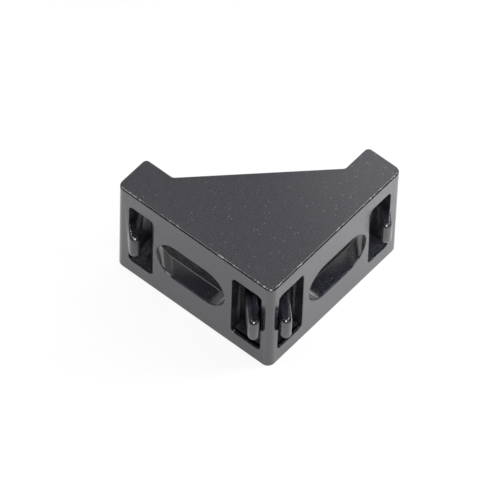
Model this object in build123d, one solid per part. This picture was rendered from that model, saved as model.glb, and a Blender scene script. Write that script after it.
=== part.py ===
from build123d import *
import os

# Cast corner bracket for slotted aluminium profile. Two mounting flanges meet at a right
# angle, and two cheeks close them above and below, so the back is an open pocket.
# Millimetres. The origin is the corner where the planes of both mounting faces and of the
# lower cheek meet. One leg runs along +X, the other along +Y, and +Z is up.
# Both halves of the casting die are drawn along the bisector of the two legs, so the ends
# of the slots, the lugs and the step in each window slant at 45 degrees to the flange.

LEG = 31.4                # length of each mounting face, measured from the corner
WIDTH = 20.0              # across the two cheeks
FLANGE = 3.2              # thickness of a mounting flange
CHEEK = 3.3               # thickness of a cheek
END_WALL = 2.6            # wall that closes each leg at its tip
TIP_DEPTH = 6.95          # depth of a cheek at the tip of a leg
TIP_LENGTH = 5.5          # length of that square tip, before the sloping back edge

CORNER_RADIUS = 1.3       # upright edges of the front corner and of the leg tips
BACK_RADIUS = 0.8         # upright edges at the back of the leg tips
EDGE_RADIUS = 0.3         # all round both cheeks

WINDOW_HEIGHT = 13.75
CORNER_WINDOW = (1.95, 7.85)             # from and to, along the leg
OUTER_WINDOW = (23.9, LEG - END_WALL)
WINDOW_RADIUS = 0.8
RIM_DEPTH = 0.4           # behind this rim a window is only as high as the pockets
STEP_DEPTH = 1.5          # the step on a window's outer side lies this deep
STEP_WIDTH = 0.3

SLOT = (9.35, 23.0)       # screw slot, from and to, along the leg
SLOT_HEIGHT = 7.7

WEB_FRONT = 10.7          # x + y on the front of the web behind the corner
WEB_BACK = 12.55          # x + y on its back

LUG_THICKNESS = 1.85      # alignment lug, measured across the bisector
LUG_HEIGHT = 4.6
LUG_REACH = 2.05          # how far it stands out from the mounting face
LUG_EDGE = 0.6
CORNER_LUG = 2.4          # tip of a lug, along the leg
OUTER_LUG = 26.65
CORNER_LUG_ROOT = 7.8     # where a lug ends inside the web, along the leg
OUTER_LUG_ROOT = LEG - END_WALL / 2      # and inside the end wall

POCKET_HEIGHT = WIDTH - 2 * CHEEK
MIRROR = Plane(origin=(0, 0, 0), z_dir=(1, -1, 0))     # swaps the two legs


def prism(points, height):
    """Prism on a plan outline, centred between the cheeks."""
    outline = make_face(Polyline(*points, close=True))
    return Pos(0, 0, WIDTH / 2) * extrude(outline, height / 2, both=True)


def on_flange(sketch, along, depth):
    """A sketch turned upright, parallel to the flange along X, at a depth behind its face."""
    return Pos(along, depth, WIDTH / 2) * Rot(90, 0, 0) * sketch


def upright_edges(shape, *places):
    """Edges along Z that stand at the given places in plan."""
    def stands_at(edge, place):
        middle = edge @ 0.5
        return abs(middle.X - place[0]) < 0.01 and abs(middle.Y - place[1]) < 0.01
    return [e for e in shape.edges().filter_by(Axis.Z) if any(stands_at(e, p) for p in places)]


def blank():
    """Solid block on the bracket's plan: a right angle with square tips and a sloping back."""
    slope_end = LEG - TIP_LENGTH
    plan = [(0, 0), (LEG, 0), (LEG, TIP_DEPTH), (slope_end, TIP_DEPTH),
            (TIP_DEPTH, slope_end), (TIP_DEPTH, LEG), (0, LEG)]
    block = prism(plan, WIDTH)
    block = fillet(upright_edges(block, (0, 0), (LEG, 0), (0, LEG)), CORNER_RADIUS)
    tips = [(LEG, TIP_DEPTH), (TIP_DEPTH, LEG), (slope_end, TIP_DEPTH), (TIP_DEPTH, slope_end)]
    block = fillet(upright_edges(block, *tips), BACK_RADIUS)
    cheeks = block.faces().sort_by(Axis.Z)
    return fillet(cheeks[0].edges() + cheeks[-1].edges(), EDGE_RADIUS)


def back_pocket():
    """Space between the cheeks, open along the sloping back and behind the tips."""
    inner_end = LEG - END_WALL
    outside = TIP_DEPTH + 1
    web = WEB_BACK - FLANGE
    plan = [(web, FLANGE), (inner_end, FLANGE), (inner_end, outside), (LEG, LEG),
            (outside, inner_end), (FLANGE, inner_end), (FLANGE, web)]
    return prism(plan, POCKET_HEIGHT)


def front_pocket():
    """Small space behind both corner windows, in front of the web."""
    start = CORNER_WINDOW[0]
    plan = [(start, start), (WEB_FRONT - start, start), (start, WEB_FRONT - start)]
    return prism(plan, POCKET_HEIGHT)


def window(near, far, near_back):
    """Opening through the flange along X, with its near side at near_back behind the flange.

    A rim above and below it and a slanted step on its far side make it smaller inside.
    """
    def cut(height, depth):
        outline = RectangleRounded(far - near, height, WINDOW_RADIUS)
        return extrude(on_flange(outline, (near + far) / 2, 0), depth, both=True)
    inner = far - STEP_WIDTH
    plan = [(near, 0), (far, 0), (far, STEP_DEPTH), (inner, STEP_DEPTH + STEP_WIDTH),
            (inner, FLANGE), (near_back, FLANGE)]
    return (cut(WINDOW_HEIGHT, RIM_DEPTH) + cut(POCKET_HEIGHT, FLANGE)) & prism(plan, WIDTH)


def slot():
    """Screw slot through the flange along X; only its outer end slants, along the bisector."""
    start, end = SLOT
    outline = SlotOverall(end - start, SLOT_HEIGHT)
    middle = (start + end) / 2
    straight = extrude(on_flange(outline, middle, 0), FLANGE, both=True)
    ahead = on_flange(outline, middle - 1, -1)
    slanted = extrude(ahead, (FLANGE + 2) * 2 ** 0.5, dir=(1, 1, 0))
    return straight + slanted


def lug(along, root):
    """Lug on the flange along X: a bar along the bisector, from a round nose to x = root."""
    radius = LUG_THICKNESS / 2
    length = (root - along) * 2 ** 0.5
    shank = Rot(0, 0, 45) * Rectangle(length, LUG_THICKNESS, align=(Align.MIN, Align.CENTER))
    bar = Pos(along, radius - LUG_REACH) * (Circle(radius) + shank)
    bar = Pos(0, 0, WIDTH / 2) * extrude(bar, LUG_HEIGHT / 2, both=True)
    return fillet(bar.edges().filter_by(Plane.XY), LUG_EDGE)


def both_legs(shape):
    return shape + mirror(shape, about=MIRROR)


corner_windows = window(*CORNER_WINDOW, CORNER_WINDOW[0])
outer_windows = window(*OUTER_WINDOW, OUTER_WINDOW[0] + FLANGE)
cuts = both_legs(slot() + corner_windows + outer_windows)
bracket = blank() - back_pocket() - front_pocket() - cuts
lugs = lug(CORNER_LUG, CORNER_LUG_ROOT) + lug(OUTER_LUG, OUTER_LUG_ROOT)
bracket += both_legs(lugs)

os.makedirs("parts", exist_ok=True)
export_step(bracket, "parts/corner_bracket.step")
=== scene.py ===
# %% [markdown]
# # A cast corner bracket for slotted profile
# This file dresses one small die casting: two flanges at a right angle between two cheeks,
# with screw slots, windows and alignment lugs, under a thin black coat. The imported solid
# brings the exact shape. What it lacks is what a casting has at the scale of a tenth of a
# millimetre: soft rims, a slightly pebbled coat and edges rubbed pale. Those are made here.

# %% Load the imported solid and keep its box
import math
import bmesh
import bpy
from mathutils import Matrix, Vector


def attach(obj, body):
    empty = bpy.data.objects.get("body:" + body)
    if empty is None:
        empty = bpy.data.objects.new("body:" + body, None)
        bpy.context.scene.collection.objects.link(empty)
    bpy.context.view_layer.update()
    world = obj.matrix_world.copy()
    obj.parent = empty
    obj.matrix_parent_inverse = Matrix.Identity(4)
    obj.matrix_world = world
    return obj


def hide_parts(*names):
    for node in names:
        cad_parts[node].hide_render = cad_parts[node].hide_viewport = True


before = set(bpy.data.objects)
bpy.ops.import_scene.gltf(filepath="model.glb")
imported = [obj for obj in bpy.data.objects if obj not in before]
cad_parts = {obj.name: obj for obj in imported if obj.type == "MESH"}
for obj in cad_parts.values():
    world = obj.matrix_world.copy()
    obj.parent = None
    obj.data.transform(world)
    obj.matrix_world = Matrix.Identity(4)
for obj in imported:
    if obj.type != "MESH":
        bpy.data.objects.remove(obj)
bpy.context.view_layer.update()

MM = 0.001
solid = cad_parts["corner_bracket"]

# %% [markdown]
# ## One clean skin
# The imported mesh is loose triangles, right for exchange but useless for rounding an edge,
# because no two triangles share one. A copy is welded, and neighbouring triangles that lie
# in one plane are dissolved into whole faces, so that every real edge is a single edge.

# %% Weld a copy of the solid and merge its flat faces
WELD = 0.0005 * MM
FLAT_ANGLE = math.radians(0.6)


def welded_copy(source, name):
    """A copy of a piece with shared corners and whole faces; the piece itself stays."""
    skin = bpy.data.objects.new(name, source.data.copy())
    bpy.context.scene.collection.objects.link(skin)
    skin.data.materials.clear()
    mesh = bmesh.new()
    mesh.from_mesh(skin.data)
    bmesh.ops.remove_doubles(mesh, verts=mesh.verts, dist=WELD)
    bmesh.ops.dissolve_limit(mesh, angle_limit=FLAT_ANGLE, verts=mesh.verts, edges=mesh.edges)
    mesh.to_mesh(skin.data)
    mesh.free()
    return skin


casting = welded_copy(solid, "bracket_casting")
print("welded:", len(casting.data.vertices), "vertices,", len(casting.data.polygons), "faces")

# %% [markdown]
# ## Rounded rims
# Metal leaves a die with no sharp edge: each outer edge has a small radius, and the radius
# shows as a thin line of light. A Bevel modifier cuts it, with one weight per edge, so the
# rims of the screw slots can be rounder than the others.

# %% Weigh the edges and bevel them
RIM_RADIUS = 0.26 * MM
FINE_RIM = 0.4
STEP_RIM = 0.15
SHARP = math.radians(28)
FLANGE = 3.2 * MM
AT_RIM = 0.02 * MM
SLOT_REACH = (9.0 * MM, 27.5 * MM)
SLOT_LEVELS = (5.9 * MM, 14.1 * MM)
CORNER_WINDOW_END = 8.1 * MM
OUTER_WINDOW_START = 23.7 * MM
WINDOW_DEPTHS = (0.05 * MM, 2.1 * MM)
WINDOW_LEVELS = (2.9 * MM, 17.1 * MM)


def on_slot_rim(point):
    """True where a point lies on the front or back rim of either screw slot."""
    level = SLOT_LEVELS[0] < point.z < SLOT_LEVELS[1]
    for depth, along in ((point.y, point.x), (point.x, point.y)):
        at_rim = min(abs(depth), abs(depth - FLANGE)) < AT_RIM
        if level and at_rim and SLOT_REACH[0] < along < SLOT_REACH[1]:
            return True
    return False


def in_window(point):
    """True inside a window, behind its mouth, where the rim and the step lie close together."""
    depth, along = sorted((point.x, point.y))
    beside_slot = along < CORNER_WINDOW_END or along > OUTER_WINDOW_START
    behind_mouth = WINDOW_DEPTHS[0] < depth < WINDOW_DEPTHS[1]
    return beside_slot and behind_mouth and WINDOW_LEVELS[0] < point.z < WINDOW_LEVELS[1]


def rim_weight(point):
    """How much of the full radius the edge at a point gets."""
    if on_slot_rim(point):
        return 1.0
    return STEP_RIM if in_window(point) else FINE_RIM


def weigh_edges(skin):
    """Weigh the outward edges that are sharp enough, and count them."""
    mesh = bmesh.new()
    mesh.from_mesh(skin.data)
    weight = mesh.edges.layers.float.new("bevel_weight_edge")
    count = 0
    for edge in mesh.edges:
        if len(edge.link_faces) != 2 or edge.calc_face_angle_signed(0) < SHARP:
            continue
        middle = (edge.verts[0].co + edge.verts[1].co) / 2
        edge[weight] = rim_weight(middle)
        count += 1
    mesh.to_mesh(skin.data)
    mesh.free()
    return count


print("edges to round:", weigh_edges(casting))
rounding = casting.modifiers.new("rounding", "BEVEL")
rounding.limit_method = "WEIGHT"
rounding.width = RIM_RADIUS
rounding.segments = 3
rounding.use_clamp_overlap = False
rounding.miter_outer = "MITER_ARC"

# %% [markdown]
# ## The black coat
# The coat is a thin black paint, half gloss. Up close it is pebbled like orange peel, and
# the colour carries painted shade of that pebbling: each tiny hill is coloured lighter than
# the hollow beside it. Pale specks of dust sit on it, most on the faces that look up, with a
# few short scuffs. Along the mounting faces the cheeks are rubbed through to bare metal. A
# picture wrapped round the part could show all this, but patterns computed from the
# object's own coordinates need no unwrapping, have no seams and stay sharp close by.

# %% Node helpers
def new_material(name):
    """A material with its nodes and its links."""
    material = bpy.data.materials.new(name)
    material.use_nodes = True
    return material, material.node_tree.nodes, material.node_tree.links


def add_node(nodes, kind, **settings):
    node = nodes.new(kind)
    for key, value in settings.items():
        setattr(node, key, value)
    return node


def reckon(nodes, links, operation, first, second):
    """A Math node; each of its two inputs is a number or another node's output."""
    node = add_node(nodes, "ShaderNodeMath", operation=operation)
    for socket, value in zip(node.inputs, (first, second)):
        if isinstance(value, float):
            socket.default_value = value
        else:
            links.new(value, socket)
    return node.outputs["Value"]


def remap(nodes, links, value, low, high, to_low=0.0, to_high=1.0):
    """A value that fades softly from to_low at low to to_high at high."""
    node = add_node(nodes, "ShaderNodeMapRange", interpolation_type="SMOOTHSTEP")
    node.inputs["From Min"].default_value = low
    node.inputs["From Max"].default_value = high
    node.inputs["To Min"].default_value = to_low
    node.inputs["To Max"].default_value = to_high
    links.new(value, node.inputs["Value"])
    return node.outputs["Result"]


def noise(nodes, links, place, scale, detail=2.0, roughness=0.5):
    """Soft random hills and hollows, scale of them to the metre."""
    node = add_node(nodes, "ShaderNodeTexNoise")
    node.inputs["Scale"].default_value = scale
    node.inputs["Detail"].default_value = detail
    node.inputs["Roughness"].default_value = roughness
    links.new(place, node.inputs["Vector"])
    return node.outputs["Fac"]


def cover(nodes, links, under, share, colour):
    """Lay a colour over another where share is one."""
    node = add_node(nodes, "ShaderNodeMix", data_type="RGBA")
    node.inputs["B"].default_value = (*colour, 1)
    links.new(under, node.inputs["A"])
    links.new(share, node.inputs["Factor"])
    return node.outputs["Result"]


# %% [markdown]
# ## Specks and scuffs
# A Voronoi texture fills space with cells, and gives each one a centre and a colour by
# chance. Where that chance is high, a speck is drawn round the centre, and the higher the
# chance, the larger the speck. The surface cuts these little balls at any height, so no
# two specks look alike. Pulling the space in one direction first makes short scuffs.

# %% Pale specks, short scuffs
SPECK_CELLS = 1900.0
SPECK_RARITY = 0.5
LARGEST_SPECK = 0.22
SCUFF_CELLS = 700.0
SCUFF_RARITY = 0.86
LARGEST_SCUFF = 0.12
SCUFF_TURN = 0.9
SCUFF_PULL = (1.0, 0.3, 1.0)


def round_specks(nodes, links, place, cells, rarity, largest):
    """Specks in a few cells of a Voronoi texture, each cell with a size of its own."""
    cell = add_node(nodes, "ShaderNodeTexVoronoi")
    cell.inputs["Scale"].default_value = cells
    links.new(place, cell.inputs["Vector"])
    chance = add_node(nodes, "ShaderNodeSeparateColor")
    links.new(cell.outputs["Color"], chance.inputs["Color"])
    size = remap(nodes, links, chance.outputs["Red"], rarity, 1.0, 0.0, largest)
    inside = reckon(nodes, links, "SUBTRACT", size, cell.outputs["Distance"])
    return remap(nodes, links, inside, 0.0, 0.25 * largest)


def scuffs(nodes, links, place):
    """Specks in a space that is turned and pulled one way, which draws them out."""
    pulled = add_node(nodes, "ShaderNodeMapping")
    pulled.inputs["Rotation"].default_value = (0, 0, SCUFF_TURN)
    pulled.inputs["Scale"].default_value = SCUFF_PULL
    links.new(place, pulled.inputs["Vector"])
    there = pulled.outputs["Vector"]
    return round_specks(nodes, links, there, SCUFF_CELLS, SCUFF_RARITY, LARGEST_SCUFF)


def dust(nodes, links, place):
    """Specks and scuffs together, thinner on faces that don't look up."""
    specks = round_specks(nodes, links, place, SPECK_CELLS, SPECK_RARITY, LARGEST_SPECK)
    marks = reckon(nodes, links, "MAXIMUM", specks, scuffs(nodes, links, place))
    facing = add_node(nodes, "ShaderNodeSeparateXYZ")
    geometry = add_node(nodes, "ShaderNodeNewGeometry")
    links.new(geometry.outputs["Normal"], facing.inputs["Vector"])
    upward = remap(nodes, links, facing.outputs["Z"], 0.5, 0.9, 0.15, 1.0)
    return reckon(nodes, links, "MULTIPLY", marks, upward)


print("cells a millimetre: specks", SPECK_CELLS * MM, "and scuffs", SCUFF_CELLS * MM)

# %% [markdown]
# ## Rubbed edges
# The bracket slides against the profile and against other brackets in their bag, so the
# cheeks are rubbed where they meet the mounting faces. The mask needs no painting: a point
# lies there when its height is that of a cheek and its depth behind a mounting face is
# small. Two noises break it up, a coarse one into stretches and a fine one into chips.

# %% Bare patches along the edges of the mounting faces
MID_HEIGHT = 10.0 * MM
CHIPS = 1900.0
STRETCHES = 160.0


def along_edges(nodes, links, place, deep, high):
    """One where a point lies less deep than deep and further from mid-height than high.

    Both are a pair of lengths that the mask fades between, so it runs along the edges of
    both mounting faces at once, at the upper cheek and at the lower one.
    """
    axes = add_node(nodes, "ShaderNodeSeparateXYZ")
    links.new(place, axes.inputs["Vector"])
    depth = reckon(nodes, links, "MINIMUM", axes.outputs["X"], axes.outputs["Y"])
    near_face = remap(nodes, links, depth, *deep, 1.0, 0.0)
    height = reckon(nodes, links, "SUBTRACT", axes.outputs["Z"], MID_HEIGHT)
    height = reckon(nodes, links, "ABSOLUTE", height, 0.0)
    near_cheek = remap(nodes, links, height, *high)
    return reckon(nodes, links, "MULTIPLY", near_face, near_cheek)


def rubbed(nodes, links, place):
    """One where the cheeks are worn bare, in chips along some stretches of the edge."""
    chips = noise(nodes, links, place, CHIPS, roughness=0.6)
    stretches = noise(nodes, links, place, STRETCHES)
    both = reckon(nodes, links, "ADD", chips, stretches)
    patches = remap(nodes, links, both, 1.06, 1.18)
    strip = along_edges(nodes, links, place, (0.2 * MM, 0.42 * MM), (9.94 * MM, 9.98 * MM))
    return reckon(nodes, links, "MULTIPLY", patches, strip)


print("a stretch of wear is about", round(1 / (STRETCHES * MM), 1), "mm long")

# %% [markdown]
# ## The coat, layer by layer
# The narrow rounded edges between the cheeks and the mounting faces are painted near black,
# a painted dark reflection: it stands in for the thin dark line they show where they mirror
# the dark side of the room. With them the coat is complete. Its colour starts with the
# painted shade of the pebbling, and dust, the painted dark edges and bare metal are laid
# over it one by one. Another noise makes the gloss uneven, and the pebbling also drives a
# fine bump.

# %% The coat
# painted shade: the hollows of the pebbling are coloured darker and its hills lighter
SHADED_HOLLOW = (0.004, 0.0043, 0.0085)
LIT_HILL = (0.046, 0.047, 0.058)
DUST = (0.12, 0.12, 0.13)
BARE_METAL = (0.34, 0.34, 0.34)
# painted dark reflection: near black for the rounded cheek edges, where they mirror the dark
# room
PAINTED_DARK_RIM = (0.004, 0.004, 0.005)
PEBBLES = 6500.0
MOTTLES = 900.0
WAVES = 1400.0


def black_coat(name, ior, smoothest, roughest, lumps):
    """Black paint between two roughnesses; lumps is how high the cast skin under it waves."""
    material, nodes, links = new_material(name)
    shader = nodes["Principled BSDF"]
    place = add_node(nodes, "ShaderNodeTexCoord").outputs["Object"]
    shader.inputs["IOR"].default_value = ior

    pebbles = noise(nodes, links, place, PEBBLES, detail=3.0, roughness=0.75)
    # painted shade of the pebbling: the noise that raises the bump also colours its hills
    # lighter
    pebble_shade = remap(nodes, links, pebbles, 0.41, 0.67)
    paint = add_node(nodes, "ShaderNodeMix", data_type="RGBA")
    paint.inputs["A"].default_value = (*SHADED_HOLLOW, 1)
    paint.inputs["B"].default_value = (*LIT_HILL, 1)
    links.new(pebble_shade, paint.inputs["Factor"])
    dusty = cover(nodes, links, paint.outputs["Result"], dust(nodes, links, place), DUST)
    # painted dark reflection laid over the rounded cheek edges
    painted_dark_rims = along_edges(nodes, links, place, (0.14 * MM, 0.22 * MM), (9.64 * MM, 9.72 * MM))
    outlined = cover(nodes, links, dusty, painted_dark_rims, PAINTED_DARK_RIM)
    colour = cover(nodes, links, outlined, rubbed(nodes, links, place), BARE_METAL)
    links.new(colour, shader.inputs["Base Color"])

    mottling = noise(nodes, links, place, MOTTLES, detail=3.0)
    gloss = remap(nodes, links, mottling, 0.3, 0.7, smoothest, roughest)
    links.new(gloss, shader.inputs["Roughness"])

    bump = add_node(nodes, "ShaderNodeBump")
    bump.inputs["Strength"].default_value = 0.4
    bump.inputs["Distance"].default_value = 0.02 * MM
    links.new(pebbles, bump.inputs["Height"])
    if lumps > 0:
        waves = add_node(nodes, "ShaderNodeBump")
        waves.inputs["Strength"].default_value = 1.0
        waves.inputs["Distance"].default_value = lumps
        links.new(noise(nodes, links, place, WAVES), waves.inputs["Height"])
        links.new(waves.outputs["Normal"], bump.inputs["Normal"])
    links.new(bump.outputs["Normal"], shader.inputs["Normal"])
    return material


open_coat = black_coat("black_coat", 1.8, 0.16, 0.22, 0.0)
dull_coat = black_coat("black_coat_dull", 1.4, 0.38, 0.54, 0.2 * MM)
print("coats:", open_coat.name, "and", dull_coat.name)

# %% [markdown]
# ## Where the coat is dull
# Sprayed paint reaches into a deep pocket as dry mist, so in the pockets and windows the
# coat comes out duller than on the open faces and in the screw slots, and the cast skin
# under it stays uneven. The middle of each face tells which of the two coats it gets.

# %% Give each face its finish
OPEN_DEPTH = 0.5 * MM
LEG_END = 31.3 * MM
POCKET_TOP = 6.9 * MM
SLOT_START = 9.0 * MM
SLOT_END = 23.5 * MM
SLOT_BACK = 3.3 * MM


def is_enclosed(centre):
    """True for a face of the pockets and windows, behind the mounting faces."""
    depth, along = sorted((centre.x, centre.y))
    in_slot = along > SLOT_START and along - depth < SLOT_END and depth < SLOT_BACK
    between_cheeks = abs(centre.z - MID_HEIGHT) < POCKET_TOP
    return depth > OPEN_DEPTH and along < LEG_END and between_cheeks and not in_slot


casting.data.materials.append(open_coat)
casting.data.materials.append(dull_coat)
for face in casting.data.polygons:
    face.material_index = int(is_enclosed(face.center))
    face.use_smooth = True
dull = sum(face.material_index for face in casting.data.polygons)
print("dull faces:", dull, "of", len(casting.data.polygons))

# %% [markdown]
# ## One finished mesh
# The Bevel modifier is applied, so the rounded rims are real faces. Edges that turn more
# than the crease angle stay sharp, and the Weighted Normal modifier lets the large flat
# faces rule the shading, so that they look flat right up to their rounded rims.

# %% Bake the rounding into the mesh
CREASE = math.radians(40)


def settle(skin):
    """Replace a piece's mesh by its evaluated one and drop its modifiers."""
    depsgraph = bpy.context.evaluated_depsgraph_get()
    final = bpy.data.meshes.new_from_object(skin.evaluated_get(depsgraph))
    skin.modifiers.clear()
    skin.data = final


settle(casting)
casting.data.set_sharp_from_angle(angle=CREASE)
smooth = casting.modifiers.new("normals", "WEIGHTED_NORMAL")
smooth.keep_sharp = True
print("finished:", len(casting.data.vertices), "vertices,", len(casting.data.polygons), "faces")
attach(casting, "root")
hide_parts("corner_bracket")

# %% [markdown]
# ## A white table
# A black half-gloss part is seen by what it reflects, and its upright faces mirror the
# table it lies on. The table is plain and matt, lit by the same lamps. A part of its
# white is glow, more of it in the view than in the gloss, so it is white all over but
# keeps the bracket's soft shadow.

# %% White table
GLOW_IN_VIEW = 0.87
GLOW_IN_GLOSS = 0.35
TABLE_SIZE = 6.0


def white_table():
    """Matt white paint with a share of plain glow."""
    material, nodes, links = new_material("white_table")
    shader = nodes["Principled BSDF"]
    shader.inputs["Base Color"].default_value = (0.85, 0.85, 0.85, 1)
    shader.inputs["Roughness"].default_value = 0.9
    shader.inputs["Specular IOR Level"].default_value = 0.0
    glow = add_node(nodes, "ShaderNodeEmission")
    glow.inputs["Color"].default_value = (1, 1, 1, 1)
    path = add_node(nodes, "ShaderNodeLightPath")
    in_gloss = reckon(nodes, links, "MULTIPLY", path.outputs["Is Glossy Ray"], GLOW_IN_GLOSS)
    in_view = reckon(nodes, links, "MULTIPLY", path.outputs["Is Camera Ray"], GLOW_IN_VIEW)
    share = reckon(nodes, links, "MAXIMUM", in_gloss, in_view)
    mix = add_node(nodes, "ShaderNodeMixShader")
    links.new(share, mix.inputs["Fac"])
    links.new(shader.outputs["BSDF"], mix.inputs[1])
    links.new(glow.outputs["Emission"], mix.inputs[2])
    links.new(mix.outputs["Shader"], nodes["Material Output"].inputs["Surface"])
    return material


bpy.ops.mesh.primitive_plane_add(size=TABLE_SIZE)
table = bpy.context.object
table.name = "table"
table.data.materials.append(white_table())
print("table:", round(table.dimensions.x, 1), "m square")

# %% [markdown]
# ## The room
# A plain even room would make a black part look grey and flat. Here the wall and ceiling
# behind the bracket are bright, and the side the viewer stands on is dark, as it is for
# anyone who leans over a bench. The flat cheek mirrors the bright part, and the rounding
# at its edge turns from that to the dark part, which draws a thin dark line. Straight in
# view the room is plain white.

# %% Room
TO_BRIGHT = Vector((0.70, 0.56, 0.44))
BRIGHT_EDGE = (math.cos(math.radians(61)), math.cos(math.radians(46)))
BRIGHT_SIDE = 0.52
DARK_SIDE = 0.03

world = bpy.data.worlds.new("room")
bpy.context.scene.world = world
world.use_nodes = True
nodes, links = world.node_tree.nodes, world.node_tree.links
background = nodes["Background"]
background.inputs["Color"].default_value = (1, 1, 1, 1)
towards = add_node(nodes, "ShaderNodeVectorMath", operation="DOT_PRODUCT")
towards.inputs[1].default_value = TO_BRIGHT
links.new(add_node(nodes, "ShaderNodeTexCoord").outputs["Generated"], towards.inputs[0])
level = remap(nodes, links, towards.outputs["Value"], *BRIGHT_EDGE, DARK_SIDE, BRIGHT_SIDE)
seen_level = add_node(nodes, "ShaderNodeMix", data_type="FLOAT")
seen_level.inputs["B"].default_value = 1.0
links.new(level, seen_level.inputs["A"])
in_view = add_node(nodes, "ShaderNodeLightPath").outputs["Is Camera Ray"]
links.new(in_view, seen_level.inputs["Factor"])
links.new(seen_level.outputs["Result"], background.inputs["Strength"])
print("room: bright side", BRIGHT_SIDE, "and dark side", DARK_SIDE)

# %% [markdown]
# ## Lamps
# Each lamp is a soft disc with one job. The main one hangs high on the viewer's side; it
# isn't straight above, where a flat cheek seen from the top would mirror it and turn
# white. Two stand where the rounded cheek edges mirror them, and draw a thin bright line
# there. A small bright one shows in the gloss alone, as a glint on the nose of each lug.
# One low behind lights the back rims of the screw slots, and another brightens the top
# towards the right tip. The last two stand low beside the legs and light the table in
# front of the mounting faces; they are kept out of the gloss, where they would show.

# %% Lamps
MIDDLE = Vector((0.012, 0.012, 0.01))


def soft_lamp(name, place, size, power, in_gloss=True, on_matt=True):
    """A round soft lamp, facing the middle of the bracket; metres and watts."""
    data = bpy.data.lights.new(name, "AREA")
    data.shape = "DISK"
    data.size = size
    data.energy = power
    lamp = bpy.data.objects.new(name, data)
    turn = (MIDDLE - Vector(place)).to_track_quat("-Z", "Y")
    lamp.matrix_world = Matrix.Translation(place) @ turn.to_matrix().to_4x4()
    lamp.visible_glossy = in_gloss
    lamp.visible_diffuse = on_matt
    bpy.context.scene.collection.objects.link(lamp)
    print(f"lamp {name}: {power} W")


soft_lamp("over_viewer", (-0.12, -0.12, 0.57), 0.20, 1.15)
soft_lamp("over_left_edge", (0.02, 0.24, 0.56), 0.16, 0.35)
soft_lamp("over_right_edge", (0.30, 0.015, 0.54), 0.16, 0.55)
soft_lamp("glints", (-0.26, -0.22, 0.44), 0.13, 1.9, on_matt=False)
soft_lamp("behind", (0.46, 0.20, 0.15), 0.15, 0.13)
soft_lamp("back_right", (0.094, 0.048, 0.117), 0.03, 0.0019)
soft_lamp("right_side", (0.085, -0.07, 0.055), 0.05, 0.20, in_gloss=False)
soft_lamp("left_side", (-0.07, 0.10, 0.06), 0.06, 0.10, in_gloss=False)

# %% [markdown]
# ## Camera
# A long lens from well above, turned a touch, so that both legs and the top read at once.
# The camera looks down its own negative Z axis, so its three axes are right, up and the
# way back to the viewer.

# %% Camera
camera_data = bpy.data.cameras.new("camera")
camera_data.sensor_width = 36
camera_data.lens = 480.46
camera_data.clip_end = 20
camera = bpy.data.objects.new("camera", camera_data)
RIGHT = Vector((0.64653, -0.76259, 0.02153))
UP = Vector((0.60575, 0.53031, 0.59317))
TO_VIEWER = Vector((-0.46377, -0.37045, 0.80479))
PLACE = Vector((-0.47084, -0.37153, 0.84419))
frame_axes = Matrix((RIGHT, UP, TO_VIEWER)).transposed().to_4x4()
camera.matrix_world = Matrix.Translation(PLACE) @ frame_axes
bpy.context.scene.collection.objects.link(camera)
bpy.context.scene.camera = camera
bpy.context.scene.view_settings.view_transform = "Standard"
print("camera lens:", round(camera_data.lens), "mm")
